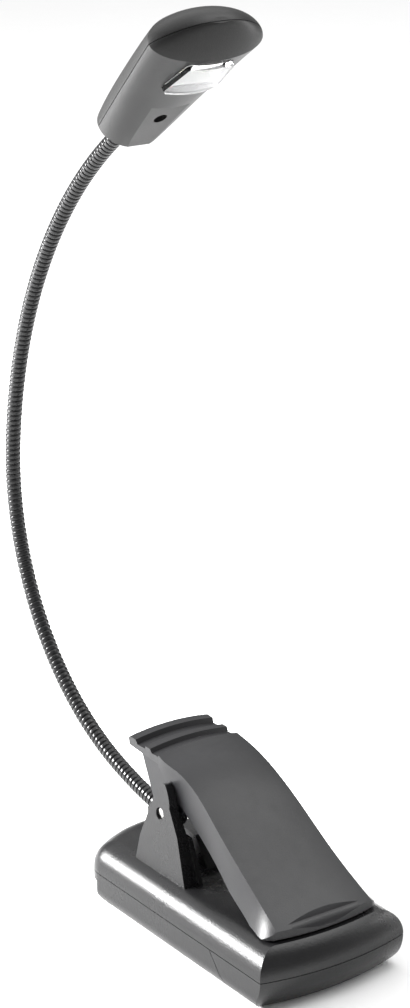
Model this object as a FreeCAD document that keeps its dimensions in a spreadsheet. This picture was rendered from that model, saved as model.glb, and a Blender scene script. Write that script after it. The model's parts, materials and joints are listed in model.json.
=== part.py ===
import FreeCAD
import Part
import math
import os

import Sketcher

V = FreeCAD.Vector
doc = FreeCAD.newDocument("clip_reading_lamp")
sheet = doc.addObject("Spreadsheet::Sheet", "Sizes")

# ---------------------------------------------------------------- driving sizes
# Millimetres and degrees. X runs from the neck end to the jaw end, Z is up, and the
# origin is under the middle of the base, on the surface that the lamp stands on.
SIZES = {
    # base
    "base_width": 51.0,
    "base_front": 46.6,             # front tip of the base, at the parting line
    "base_rear": 52.5,              # rear end of the base
    "base_height": 18.7,
    "parting_height": 10.3,
    "parting_gap": 0.24,
    "front_bow_radius": 92.0,
    "rear_bow_radius": 39.0,
    "rear_corner_radius": 9.0,
    "top_edge_radius": 7.8,
    "bottom_edge_radius": 5.0,
    "front_top_setback": 4.9,       # how far the front face leans back at the top
    "front_bottom_setback": 5.6,
    "front_top_face_radius": 9.65,
    "front_bottom_face_radius": 12.3,
    "shell_wall": 2.0,
    "case_screw_radius": 1.05,
    "case_screw_head_radius": 1.85,
    "case_screw_reach": 14.0,       # height of the screws' tips
    "case_screw_inset": 7.2,
    "case_screw_setback": 11.5,
    "shell_floor": 1.8,
    # battery door
    "seam_top": 18.3,               # where the door's front edge meets the parting line
    "seam_bottom": 27.5,
    "seam_gap": 0.3,
    "door_step_height": 7.6,
    "door_step_depth": 2.4,
    # cells, size AAA
    "cell_diameter": 10.5,
    "cell_length": 43.7,
    "cell_nub_diameter": 3.8,
    "cell_nub_length": 0.8,
    "cell_pitch": 11.3,
    "cell_rear": -35.0,
    "cell_clearance": 0.5,
    "contact_thickness": 0.4,
    "tray_thickness": 1.3,
    # ears and pin
    "pin_forward": -17.3,
    "pin_height": 36.5,
    "pin_radius": 1.5,
    "pin_clearance": 0.05,
    "pin_seat_gap": 0.35,           # between the pin's end and the recess round it
    "pin_seat_depth": 0.6,
    "ear_outer": 19.3,
    "ear_inner": 14.6,
    "ear_lean": 2.4,                # how far the outer face leans in at the top
    "ear_foot_rear": -27.9,
    "ear_foot_front": -2.1,
    "ear_top": 45.9,
    "ear_web": 1.2,
    # boss that holds the neck
    "boss_rear": -40.0,
    "boss_front": -8.0,
    "boss_half_width": 6.6,
    "boss_top": 28.9,
    # lever
    "lever_wall": 2.0,
    "lever_crown": 1.2,
    "lever_front": 40.7,
    "lever_lip_height": 19.4,
    "lip_half_width": 20.1,
    "thumb_half_width": 13.95,
    "thumb_underside": 49.4,
    "flange_outer": 13.2,
    "flange_thickness": 2.0,
    "pin_boss_radius": 5.0,
    # jaw pads
    "pad_rear": 25.0,
    "pad_front": 38.0,
    "pad_half_width": 12.5,
    "pad_thickness": 1.2,
    "pad_stand": 0.2,
    "jaw_clearance": 0.3,
    # torsion spring
    "spring_wire": 1.1,
    "spring_coil_radius": 4.0,
    "spring_half_width": 8.6,
    # neck route: a straight root, three tangent arcs and a straight end
    "neck_radius": 2.45,
    "neck_bore": 1.35,
    "neck_root_x": -28.0,
    "neck_root_z": 21.74,
    "neck_root_heading": 170.9,
    "neck_root_length": 17.0,
    "arc_one_radius": 132.7,
    "arc_one_turn": 10.3,
    "arc_two_radius": 85.3,
    "arc_two_turn": 75.2,
    "arc_three_radius": 149.5,
    "arc_three_turn": 47.8,
    "neck_end_length": 22.0,
    "first_bend": 44.0,
    "last_bend": 283.0,
    "neck_joint_clearance": 0.2,
    "wire_radius": 0.45,
    "wire_spacing": 1.1,
    "ferrule_radius": 3.5,
    "ferrule_length": 9.0,
    "ferrule_clearance": 0.1,
    # head
    "head_rear": 13.0,
    "head_nose": 69.4,
    "head_wall": 1.5,
    "head_seam": 0.2,
    "head_scale": 1.0,
    "window_rear": 44.6,
    "window_front": 58.8,
    "window_rear_half": 9.4,
    "window_front_half": 7.6,
    "lens_thickness": 1.4,
    "lens_bulge": 1.5,
    "lens_clearance": 0.12,
    "board_thickness": 1.6,
    "led_radius": 1.5,
    "led_spacing": 8.4,
    "recess_half_width": 9.0,
    "recess_front": 34.5,
    "head_screw_place": 27.5,
    "head_screw_head_radius": 1.8,
    "head_screw_radius": 1.0,
    "slider_rear": 21.0,
    "slider_front": 37.0,
    "slider_half_width": 3.6,
    "slider_rise": 1.35,
    "slider_clearance": 0.25,
    "slider_travel": 4.5,
    "stem_half_width": 1.3,
    "stem_length": 7.0,
}

for row, (alias, number) in enumerate(SIZES.items(), start=1):
    sheet.set("A%d" % row, alias)
    sheet.set("B%d" % row, str(number))
    sheet.setAlias("B%d" % row, alias)
doc.recompute()


class Size:
    """A length or an angle that knows its number and the sheet expression it comes from."""

    def __init__(self, number, text):
        self.number = number
        self.text = text

    def __add__(self, other):
        other = as_size(other)
        return Size(self.number + other.number, "(%s + %s)" % (self.text, other.text))

    def __sub__(self, other):
        other = as_size(other)
        return Size(self.number - other.number, "(%s - %s)" % (self.text, other.text))

    def __mul__(self, other):
        other = as_size(other)
        return Size(self.number * other.number, "(%s * %s)" % (self.text, other.text))

    def __truediv__(self, other):
        other = as_size(other)
        return Size(self.number / other.number, "(%s / %s)" % (self.text, other.text))

    def __radd__(self, other):
        return as_size(other) + self

    def __rsub__(self, other):
        return as_size(other) - self

    def __rmul__(self, other):
        return as_size(other) * self

    def __neg__(self):
        return Size(-self.number, "(0 - %s)" % self.text)


def cosine(size):
    return Size(math.cos(math.radians(size.number)), "cos(%s * 1 deg)" % size.text)


def sine(size):
    return Size(math.sin(math.radians(size.number)), "sin(%s * 1 deg)" % size.text)


def as_size(value):
    if isinstance(value, Size):
        return value
    return Size(float(value), "%.6g" % value if value >= 0 else "(0 - %.6g)" % -value)


def root(size):
    return Size(math.sqrt(size.number), "sqrt(%s)" % size.text)


def of(alias):
    """The named size, as the sheet holds it."""
    return Size(float(sheet.get(alias)), "Sizes.%s" % alias)


def mm(alias):
    """The named size as a plain number, for shapes that Part builds directly."""
    return float(sheet.get(alias))


def bind(thing, name, size):
    size = as_size(size)
    thing.setExpression(name, size.text)


# ---------------------------------------------------------------- sketch helpers
def origin_plane(body, role):
    return next(item for item in body.Origin.OriginFeatures if item.Role == role)


def new_body(label):
    body = doc.addObject("PartDesign::Body", label)
    body.Label = label
    return body


def new_sketch(body, role, name, offset=None):
    """A sketch on one of the body's own origin planes, moved along the plane's normal."""
    sketch = body.newObject("Sketcher::SketchObject", name)
    sketch.AttachmentSupport = [(origin_plane(body, role), "")]
    sketch.MapMode = "FlatFace"
    if offset is not None:
        bind(sketch, "AttachmentOffset.Base.z", offset)
    return sketch


def pin_point(sketch, curve, end, across, up):
    """Hold one end of a curve at a place that the sheet gives."""
    for kind, axis, size in (("DistanceX", -2, across), ("DistanceY", -1, up)):
        size = as_size(size)
        if abs(size.number) < 1e-9:
            sketch.addConstraint(Sketcher.Constraint("PointOnObject", curve, end, axis))
            continue
        index = sketch.addConstraint(Sketcher.Constraint(kind, -1, 1, curve, end, size.number))
        bind(sketch, "Constraints[%d]" % index, size)


def outline(sketch, corners):
    """A closed outline. A corner is (across, up), or (across, up, radius, side) where the
    edge that arrives there is an arc whose centre lies on that side of its travel: 1 is left."""
    places = [(as_size(c[0]), as_size(c[1])) for c in corners]
    count = len(corners)
    first = sketch.GeometryCount
    ends = []
    for i in range(count):
        start, corner = places[i - 1], corners[i]
        a = V(start[0].number, start[1].number, 0)
        b = V(places[i][0].number, places[i][1].number, 0)
        if len(corner) == 2:
            sketch.addGeometry(Part.LineSegment(a, b), False)
            ends.append((1, 2))
            continue
        radius, side = as_size(corner[2]), corner[3]
        half = (b - a) * 0.5
        normal = V(-half.y, half.x, 0).normalize() * side
        reach = math.sqrt(radius.number ** 2 - half.Length ** 2)
        centre = a + half + normal * reach
        begin, finish = (a, b) if side > 0 else (b, a)
        angles = [math.atan2(p.y - centre.y, p.x - centre.x) for p in (begin, finish)]
        circle = Part.Circle(centre, V(0, 0, 1), radius.number)
        sketch.addGeometry(Part.ArcOfCircle(circle, angles[0], angles[1]), False)
        ends.append((1, 2) if side > 0 else (2, 1))
        index = sketch.addConstraint(Sketcher.Constraint("Radius", first + i, radius.number))
        bind(sketch, "Constraints[%d]" % index, radius)
    for i in range(count):
        following = (i + 1) % count
        sketch.addConstraint(Sketcher.Constraint(
            "Coincident", first + i, ends[i][1], first + following, ends[following][0]))
        pin_point(sketch, first + i, ends[i][1], *places[i])


def box_outline(sketch, left, low, right, high):
    outline(sketch, [(left, low), (right, low), (right, high), (left, high)])


def circle_outline(sketch, across, up, radius):
    radius = as_size(radius)
    across, up = as_size(across), as_size(up)
    curve = sketch.addGeometry(
        Part.Circle(V(across.number, up.number, 0), V(0, 0, 1), radius.number), False)
    pin_point(sketch, curve, 3, across, up)
    index = sketch.addConstraint(Sketcher.Constraint("Radius", curve, radius.number))
    bind(sketch, "Constraints[%d]" % index, radius)


def extrude(body, kind, name, sketch, length, reversed_way=False, both_ways=False):
    feature = body.newObject("PartDesign::" + kind, name)
    feature.Profile = sketch
    feature.SideType = "Symmetric" if both_ways else "One side"
    feature.Reversed = reversed_way
    bind(feature, "Length", length)
    doc.recompute()
    return feature


def pad(body, name, sketch, length, **ways):
    return extrude(body, "Pad", name, sketch, length, **ways)


def pocket(body, name, sketch, length, **ways):
    """A cut, checked to have taken something away."""
    before = body.Shape.Volume
    feature = extrude(body, "Pocket", name, sketch, length, **ways)
    if body.Shape.Volume > before - 1e-3:
        raise RuntimeError("pocket %s cuts nothing" % name)
    return feature


def turn(body, kind, name, sketch, axis, angle=360.0, both_ways=False):
    feature = body.newObject("PartDesign::" + kind, name)
    feature.Profile = sketch
    feature.ReferenceAxis = axis
    feature.Midplane = both_ways
    bind(feature, "Angle", angle)
    doc.recompute()
    return feature


def loft(body, kind, name, sketches):
    feature = body.newObject("PartDesign::" + kind, name)
    feature.Profile = sketches[0]
    feature.Sections = sketches[1:]
    feature.Ruled = False
    doc.recompute()
    return feature


def round_edges(body, name, base, radius, wanted):
    """Fillet the edges of a feature whose middle point answers the question."""
    names = []
    for number, edge in enumerate(base.Shape.Edges, start=1):
        middle = edge.valueAt((edge.FirstParameter + edge.LastParameter) / 2)
        if wanted(edge, middle):
            names.append("Edge%d" % number)
    if not names:
        raise RuntimeError("no edge to round in " + name)
    fillet = body.newObject("PartDesign::Fillet", name)
    fillet.Base = (base, names)
    bind(fillet, "Radius", radius)
    doc.recompute()
    return fillet


def near(a, b, limit=0.05):
    return abs(a - b) < limit


# ---------------------------------------------------------------- base outline
half_width = of("base_width") / 2
front_axis = of("base_front") - of("front_bow_radius")
rear_axis = of("rear_bow_radius") - of("base_rear")
front_corner = front_axis + root(
    of("front_bow_radius") * of("front_bow_radius") - half_width * half_width)
rear_corner = rear_axis - root(
    of("rear_bow_radius") * of("rear_bow_radius") - half_width * half_width)
block_front = of("base_front") + 6
shell_top_start = of("parting_height") + of("parting_gap") / 2
lower_top = of("parting_height") - of("parting_gap") / 2
over_all = of("base_width") * 2
screw_x = of("base_front") - of("case_screw_setback")
screw_y = half_width - of("case_screw_inset")
screw_seat = as_size(3.0)
ear_slope = of("ear_lean") / (of("ear_top") - of("base_height"))
pin_reach = (of("ear_outer") - ear_slope * (of("pin_height") - of("base_height"))
             - of("pin_seat_depth"))


def base_block(body, low, high):
    """The base's plan, pulled up between two heights, with its rear corners rounded."""
    plan = new_sketch(body, "XY_Plane", body.Name + "_plan", low)
    outline(plan, [
        (rear_corner, -half_width, of("rear_bow_radius"), 1),
        (block_front, -half_width),
        (block_front, half_width),
        (rear_corner, half_width),
    ])
    block = pad(body, body.Name + "_block", plan, high - low)
    corner_x = rear_corner.number

    def rear_upright(edge, middle):
        return near(middle.x, corner_x) and near(abs(middle.y), half_width.number)

    return round_edges(body, body.Name + "_corners", block, of("rear_corner_radius"), rear_upright)


def cut_front(body, high):
    """Shape the front end with a face that bows forward and leans back from the parting line."""
    face = new_sketch(body, "XZ_Plane", body.Name + "_front_face")
    tip = of("base_front")
    middle = of("parting_height")
    if high:
        top = of("base_height")
        outline(face, [
            (tip, middle - 1),
            (tip + 30, middle - 1),
            (tip + 30, top + 1),
            (tip - of("front_top_setback"), top + 1),
            (tip - of("front_top_setback"), top),
            (tip, middle, of("front_top_face_radius"), -1),
        ])
    else:
        outline(face, [
            (tip, middle + 1),
            (tip, middle),
            (tip - of("front_bottom_setback"), 0, of("front_bottom_face_radius"), -1),
            (tip - of("front_bottom_setback"), -1),
            (tip + 30, -1),
            (tip + 30, middle + 1),
        ])
    axis_sketch = new_sketch(body, "XZ_Plane", body.Name + "_front_axis")
    axis_sketch.addGeometry(
        Part.LineSegment(V(front_axis.number, 0, 0), V(front_axis.number, 10, 0)), False)
    pin_point(axis_sketch, 0, 1, front_axis, 0)
    pin_point(axis_sketch, 0, 2, front_axis, 10)
    before = body.Shape.Volume
    feature = turn(body, "Groove", body.Name + "_front", face, (axis_sketch, ["Edge1"]))
    if body.Shape.Volume > before - 1:
        raise RuntimeError("the front face cuts nothing")
    return feature


def root_place(along, out):
    """A place in the middle plane, by distance along the neck's straight root and out from it."""
    heading = of("neck_root_heading")
    along, out = as_size(along), as_size(out)
    return (of("neck_root_x") + along * cosine(heading) + out * sine(heading),
            of("neck_root_z") + along * sine(heading) - out * cosine(heading))


# ---------------------------------------------------------------- base top shell
def base_top_shell():
    body = new_body("base_top_shell")
    corners = base_block(body, shell_top_start, of("base_height"))
    top = SIZES["base_height"]

    def top_rim(edge, middle):
        return near(middle.z, top) and middle.x < block_front.number - 1

    rounded = round_edges(body, "top_rim", corners, of("top_edge_radius"), top_rim)
    cut_front(body, True)

    # hollow in two steps, because the roundover takes the wall away near the top
    ceiling = of("base_height") - of("shell_wall")
    for name, inset, corner, roof in (
            ("wide_hollow", of("shell_wall"), 4.8, of("parting_height") + 2.6),
            ("high_hollow", of("shell_wall") * 2.2, 10, ceiling)):
        hollow = new_sketch(body, "XY_Plane", name + "_plan", shell_top_start)
        rear = -of("base_rear") + 9
        outline(hollow, [
            (rear, -half_width + corner),
            (rear_corner + 7, -half_width + inset),
            (of("base_front") - inset * 3, -half_width + inset),
            (of("base_front") - inset * 3, half_width - inset),
            (rear_corner + 7, half_width - inset),
            (rear, half_width - corner),
        ])
        pocket(body, name, hollow, roof - shell_top_start, reversed_way=True)
    for side, name in ((-1, "near"), (1, "far")):
        stud = new_sketch(body, "XY_Plane", name + "_screw_stud_plan", shell_top_start)
        circle_outline(stud, screw_x, screw_y * side, 2.6)
        pad(body, name + "_screw_stud", stud, ceiling - shell_top_start)
        pilot = new_sketch(body, "XY_Plane", name + "_screw_pilot_plan", shell_top_start)
        circle_outline(pilot, screw_x, screw_y * side, of("case_screw_radius") + 0.02)
        pocket(body, name + "_screw_pilot", pilot, of("case_screw_reach") + 0.5 - shell_top_start,
               reversed_way=True)

    # boss for the neck, with a bore that slopes down into the hollow
    boss = new_sketch(body, "XZ_Plane", "boss_side")
    floor = of("base_height") - 1
    outline(boss, [
        (of("boss_rear"), floor),
        (of("boss_front"), floor),
        (of("boss_front") - 7, of("boss_top") - 1.6),
        (of("boss_rear") + 2, of("boss_top")),
        (of("boss_rear"), of("boss_top") - 2, 2, -1),
    ])
    pad(body, "boss", boss, of("boss_half_width") * 2, both_ways=True)

    bore = new_sketch(body, "XZ_Plane", "boss_bore_side")
    wide = of("ferrule_radius") + of("ferrule_clearance")
    narrow = of("neck_radius") + 0.25
    step = of("ferrule_length") + 0.3
    outline(bore, [
        root_place(-13, 0),
        root_place(-13, wide),
        root_place(step, wide),
        root_place(step, narrow),
        root_place(22, narrow),
        root_place(22, 0),
    ])
    axis_sketch = new_sketch(body, "XZ_Plane", "boss_bore_axis")
    ends = [root_place(-13, 0), root_place(22, 0)]
    axis_sketch.addGeometry(Part.LineSegment(*[V(e[0].number, e[1].number, 0) for e in ends]), False)
    pin_point(axis_sketch, 0, 1, *ends[0])
    pin_point(axis_sketch, 0, 2, *ends[1])
    turn(body, "Groove", "boss_bore", bore, (axis_sketch, ["Edge1"]))
    outlet = new_sketch(body, "XY_Plane", "lead_outlet_plan", ceiling - 1)
    box_outline(outlet, of("boss_front") - 12, -2.2, of("boss_front") - 4, 2.2)
    pocket(body, "lead_outlet", outlet, 4, reversed_way=True)

    # two ears, each a plate with a low web inside it
    pin_x, pin_z = of("pin_forward"), of("pin_height")
    for side, name in ((-1, "near"), (1, "far")):
        start = of("ear_outer") if side < 0 else -of("ear_outer")
        ear = new_sketch(body, "XZ_Plane", name + "_ear_side", start)
        outline(ear, [
            (of("ear_foot_rear"), floor),
            (of("ear_foot_front"), floor),
            (pin_x + 9.5, pin_z - 4.3),
            (pin_x + 4.6, pin_z + 3.1),
            (pin_x + 1.7, of("ear_top"), 11.0, 1),
            (pin_x - 0.6, of("ear_top") - 0.9, 1.7, 1),
            (pin_x - 3.5, pin_z + 4.2),
            (pin_x - 8.9, pin_z - 9.5),
        ])
        pad(body, name + "_ear", ear, of("ear_outer") - of("ear_inner"), reversed_way=side < 0)
        inset = of("ear_outer") - of("ear_inner") - 0.1
        web = new_sketch(body, "XZ_Plane", name + "_web_side",
                         start - inset if side < 0 else start + inset)
        outline(web, [
            (of("ear_foot_front") - 8, floor),
            (of("ear_foot_front") + 1.3, floor),
            (pin_x + 10.4, pin_z - 4.9),
            (pin_x + 7.6, pin_z - 4.9),
        ])
        pad(body, name + "_web", web, of("ear_web") + 0.1, reversed_way=side < 0)

    # the ears' outer faces lean in towards the top
    rise = of("ear_top") - of("base_height")
    for side, name in ((-1, "near"), (1, "far")):
        lean = new_sketch(body, "YZ_Plane", name + "_lean")
        foot = of("ear_outer") * side
        outline(lean, [
            (foot, of("base_height")),
            (foot + side, of("base_height")),
            (foot + side, of("ear_top") + 1),
            (foot - of("ear_lean") * side * (rise + 1) / rise, of("ear_top") + 1),
        ])
        pocket(body, name + "_lean_cut", lean, over_all, both_ways=True)

    # hole for the pin, and wider recesses round its ends
    hole = new_sketch(body, "XZ_Plane", "pin_hole")
    circle_outline(hole, pin_x, pin_z, of("pin_radius") + of("pin_clearance"))
    pocket(body, "pin_bore", hole, over_all, both_ways=True)
    for side, name in ((-1, "near"), (1, "far")):
        start = of("ear_outer") if side < 0 else -of("ear_outer")
        seat = new_sketch(body, "XZ_Plane", name + "_pin_seat", start)
        circle_outline(seat, pin_x, pin_z, of("pin_radius") + of("pin_seat_gap"))
        pocket(body, name + "_pin_recess", seat, of("ear_outer") - pin_reach + 0.3,
               reversed_way=side > 0)

    # seat for the lower jaw pad
    seat = new_sketch(body, "XY_Plane", "jaw_seat", of("base_height"))
    box_outline(seat, of("pad_rear"), -of("pad_half_width"), of("pad_front"), of("pad_half_width"))
    pocket(body, "jaw_recess", seat, of("pad_thickness") - of("pad_stand"))
    return body


# ---------------------------------------------------------------- lower shells
def lower_block(label):
    """Both lower shells start as the same block, with a rounded bottom edge."""
    body = new_body(label)
    corners = base_block(body, as_size(0), lower_top)

    def bottom_rim(edge, middle):
        return near(middle.z, 0) and middle.x < block_front.number - 1

    round_edges(body, label + "_rim", corners, of("bottom_edge_radius"), bottom_rim)
    cut_front(body, False)
    return body


def seam_cut(body, keep_front, gap):
    """Cut along the slanted seam, and keep the piece before it or behind it."""
    side = new_sketch(body, "XZ_Plane", body.Name + "_seam")
    far_end = of("base_front") + 20 if not keep_front else -of("base_rear") - 20
    slope = (of("seam_bottom") - of("seam_top")) / of("parting_height")
    outline(side, [
        (of("seam_bottom") + gap + slope, -1),
        (of("seam_top") + gap - slope, of("parting_height") + 1),
        (far_end, of("parting_height") + 1),
        (far_end, -1),
    ])
    pocket(body, body.Name + "_seam_cut", side, over_all, both_ways=True)


def front_shell():
    body = lower_block("front_shell")
    seam_cut(body, True, of("seam_gap"))
    hollow = new_sketch(body, "XY_Plane", "front_hollow_plan", lower_top)
    box_outline(hollow, of("seam_bottom") + 2.5, -half_width + 4.2,
                of("base_front") - 8.5, half_width - 4.2)
    pocket(body, "front_hollow", hollow, lower_top - of("shell_floor"))
    for side, name in ((-1, "near"), (1, "far")):
        seat = new_sketch(body, "XY_Plane", name + "_screw_seat", 0)
        circle_outline(seat, screw_x, screw_y * side, of("case_screw_head_radius") + 1)
        pad(body, name + "_screw_post", seat, lower_top)
        bore = new_sketch(body, "XY_Plane", name + "_screw_bore_plan", 0)
        circle_outline(bore, screw_x, screw_y * side, of("case_screw_radius") + 0.1)
        pocket(body, name + "_screw_bore", bore, lower_top + 1, reversed_way=True)
        sink = new_sketch(body, "XY_Plane", name + "_screw_sink_plan", 0)
        circle_outline(sink, screw_x, screw_y * side, of("case_screw_head_radius") + 0.2)
        pocket(body, name + "_screw_sink", sink, screw_seat, reversed_way=True)
    return body


def battery_door():
    body = lower_block("battery_door")
    seam_cut(body, False, as_size(0))
    # finger step round the rear end
    step = new_sketch(body, "XZ_Plane", "door_step_side")
    reach = -of("base_rear")
    box_outline(step, reach - 5, -1, reach + of("door_step_depth"), of("door_step_height"))
    axis_sketch = new_sketch(body, "XZ_Plane", "door_step_axis")
    axis_sketch.addGeometry(
        Part.LineSegment(V(rear_axis.number, 0, 0), V(rear_axis.number, 10, 0)), False)
    pin_point(axis_sketch, 0, 1, rear_axis, 0)
    pin_point(axis_sketch, 0, 2, rear_axis, 10)
    turn(body, "Groove", "door_step", step, (axis_sketch, ["Edge1"]), 180, both_ways=True)
    # the hollow is open to the front, so the door slides off past the cells
    hollow = new_sketch(body, "XY_Plane", "door_hollow_plan", lower_top)
    rear = -of("base_rear") + of("door_step_depth") + 1.6
    side = half_width - 2.6
    outline(hollow, [
        (rear + 8, -side + 3),
        (rear + 14, -side),
        (of("seam_bottom") + 20, -side),
        (of("seam_bottom") + 20, side),
        (rear + 14, side),
        (rear + 8, side - 3),
    ])
    pocket(body, "door_hollow", hollow, lower_top - of("shell_floor"))
    return body


# ---------------------------------------------------------------- inside the base
cell_rest = of("shell_floor") + of("cell_clearance")
cell_axis = cell_rest + of("cell_diameter") / 2
cell_end = of("cell_rear") + of("cell_length") + of("cell_nub_length")
tray_low = cell_rest + of("cell_diameter") + of("cell_clearance")


def solid(kind, label, **sizes):
    """A Part primitive with every size bound to the sheet."""
    thing = doc.addObject("Part::" + kind, label)
    thing.Label = label
    for name, size in sizes.items():
        bind(thing, name.replace("_", "."), size)
    return thing


def place(thing, x, y, z):
    for name, size in (("x", x), ("y", y), ("z", z)):
        bind(thing, "Placement.Base." + name, size)
    return thing


def along_x(thing):
    thing.Placement = FreeCAD.Placement(V(), FreeCAD.Rotation(V(0, 1, 0), 90))
    return thing


def along_y(thing):
    thing.Placement = FreeCAD.Placement(V(), FreeCAD.Rotation(V(1, 0, 0), -90))
    return thing


def fuse(label, parts):
    thing = doc.addObject("Part::MultiFuse", label)
    thing.Label = label
    thing.Shapes = parts
    return thing


def battery_cell(label, row):
    can = along_x(solid("Cylinder", label + "_can", Radius=of("cell_diameter") / 2,
                        Height=of("cell_length")))
    place(can, of("cell_rear"), of("cell_pitch") * row, cell_axis)
    nub = along_x(solid("Cylinder", label + "_nub", Radius=of("cell_nub_diameter") / 2,
                        Height=of("cell_nub_length") + 1))
    place(nub, of("cell_rear") + of("cell_length") - 1, of("cell_pitch") * row, cell_axis)
    return fuse(label, [can, nub])


def cell_tray():
    """The chassis over the cells, with ribs between them and a wall at each end."""
    body = new_body("cell_tray")
    side = of("cell_pitch") * 1.5 + 1.2
    rear = of("cell_rear") - 4.2
    front = cell_end + 2.9
    plate = new_sketch(body, "XY_Plane", "tray_plan", tray_low)
    box_outline(plate, rear, -side, front, side)
    pad(body, "tray_plate", plate, of("tray_thickness"))
    foot = of("shell_floor") + 0.5
    walls = new_sketch(body, "XY_Plane", "tray_walls_plan", foot)
    box_outline(walls, rear, -side, rear + 1.2, side)
    box_outline(walls, front - 1.2, -side, front, side)
    pad(body, "tray_walls", walls, tray_low + 0.5 - foot)
    for row in (-1, 1):
        rib = new_sketch(body, "XZ_Plane", "tray_rib_%d_side" % (row + 1),
                         -(of("cell_pitch") * row / 2 + 0.3))
        outline(rib, [
            (of("cell_rear"), cell_axis + 2.2),
            (cell_end, cell_axis + 2.2),
            (cell_end, tray_low + 0.5),
            (of("cell_rear"), tray_low + 0.5),
        ])
        pad(body, "tray_rib_%d" % (row + 1), rib, 0.6)
    for name, low, high in (("near", -4, -2), ("far", of("cell_pitch") - 4, of("cell_pitch") - 2)):
        passage = new_sketch(body, "XY_Plane", name + "_wire_notch_plan", tray_low - 1)
        box_outline(passage, front - 2.9, low, front - 1.3, high)
        pocket(body, name + "_wire_notch", passage, of("tray_thickness") + 3, reversed_way=True)
    return body


def contact_plates():
    """Flat plates that touch the nub ends: one bridges two cells, one serves the third."""
    x = cell_end + 0.15
    bridge = solid("Box", "bridge_plate", Length=of("contact_thickness"),
                   Width=of("cell_pitch") + 8, Height=7)
    place(bridge, x, -of("cell_pitch") - 4, cell_axis - 3.5)
    single = solid("Box", "single_plate", Length=of("contact_thickness"), Width=8, Height=7)
    place(single, x, of("cell_pitch") - 4, cell_axis - 3.5)
    group = doc.addObject("Part::Compound", "contact_plates")
    group.Label = "contact_plates"
    group.Links = [bridge, single]
    return group


def coil(centre, axis, radius, wire, pitch, turns):
    """A helical wire on its own, as a closed solid."""
    helix = Part.makeHelix(pitch, pitch * turns, radius)
    ring = Part.Wire(Part.makeCircle(wire / 2, V(radius, 0, 0), V(0, 1, pitch / (6.283 * radius))))
    spring = Part.Wire(helix.Edges).makePipeShell([ring], True, True)
    spring.Placement = FreeCAD.Placement(centre, FreeCAD.Rotation(V(0, 0, 1), axis))
    return spring


def feature(label, shape):
    thing = doc.addObject("Part::Feature", label)
    thing.Label = label
    thing.Shape = shape
    return thing


def contact_springs():
    """One coil behind each cell, on a shared strip that stands on the tray's rear wall."""
    x = mm("cell_rear") - 0.3
    wire = mm("contact_thickness") * 1.4
    pieces = []
    for row in (-1, 0, 1):
        y = mm("cell_pitch") * row
        centre = V(x - 1.75, y, cell_axis.number)
        pieces.append(coil(centre, V(1, 0, 0), 2.9, wire, 0.72, 2.0))
        strip = Part.makeBox(mm("contact_thickness"), 8, 7,
                             V(x - 2.15 - mm("contact_thickness"), y - 4, cell_axis.number - 3.5))
        pieces.append(strip)
    return feature("contact_springs", Part.makeCompound(pieces))


# ---------------------------------------------------------------- clamp hardware
def pivot_pin():
    pin = along_y(solid("Cylinder", "pivot_pin", Radius=of("pin_radius"), Height=pin_reach * 2))
    return place(pin, of("pin_forward"), -pin_reach, of("pin_height"))


def torsion_spring():
    """A coil round the pin; one leg bears on the base behind it, the other under the thumb end."""
    centre = V(mm("pin_forward"), 0, mm("pin_height"))
    radius = mm("spring_coil_radius")
    half = mm("spring_half_width")
    wire = mm("spring_wire") / 2
    base_foot = V(mm("pin_forward") - 16.7, 0, mm("base_height") + wire + 0.3)
    thumb_foot = V(mm("pin_forward") - 13.7, 0, mm("thumb_underside") - wire - 0.4)

    def touch(foot, way):
        arm = foot - centre
        return math.atan2(arm.z, arm.x) + way * math.acos(radius / arm.Length)

    start = touch(base_foot, 1)
    finish = touch(thumb_foot, -1)
    while finish < start:
        finish += 2 * math.pi
    turns = 12 + (finish - start) / (2 * math.pi)
    winding = coil(V(), V(0, 0, 1), radius, wire * 2, 2 * half / turns, turns)
    # the winding starts on the far side and works its way to the near side
    winding.Placement = FreeCAD.Placement(centre + V(0, half, 0), FreeCAD.Rotation(
        V(1, 0, 0), 90) * FreeCAD.Rotation(V(0, 0, 1), math.degrees(start)))
    pieces = [winding]
    for angle, y, foot in ((start, half, base_foot), (finish, -half, thumb_foot)):
        knee = V(centre.x + radius * math.cos(angle), y, centre.z + radius * math.sin(angle))
        leg = V(foot.x, y, foot.z) - knee
        pieces.append(Part.makeSphere(wire * 1.12, knee))
        pieces.append(Part.makeCylinder(wire, leg.Length, knee, leg))
    return feature("torsion_spring", pieces[0].multiFuse(pieces[1:]))


# ---------------------------------------------------------------- lever
# Stations along the lever: forward place, half width at the top edge, height of the top
# edge, and how much wider the skirt is at its foot. The waist is over the pin.
LEVER_STATIONS = [
    ("root", -23.0, 14.2, 52.1, 0.0),
    ("rear", -14.0, 14.2, 50.5, 0.0),
    ("waist", -4.0, 14.2, 47.2, 0.0),
    ("back", 8.0, 15.0, 40.1, 0.4),
    ("middle", 20.0, 15.5, 32.5, 3.4),
    ("slope", 30.0, 16.1, 26.7, 5.7),
    ("foot", 36.0, 16.6, 23.4, 9.4),
    ("lip", 43.0, 17.2, 19.6, 9.6),
]
SKIRT_FOOT = 12.0


def lever_section(body, name, station, inset, drop, foot):
    label, x, half, height, flare = station
    section = new_sketch(body, "YZ_Plane", name + "_" + label, x)
    half = as_size(half) - inset
    flare = as_size(flare)
    top = as_size(height) - drop
    crown = of("lever_crown")
    arc = (half * half + crown * crown) / (crown * 2)
    outline(section, [
        (-half - flare, foot),
        (half + flare, foot),
        (half, top),
        (-half, top, arc, 1),
    ])
    return section


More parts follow.
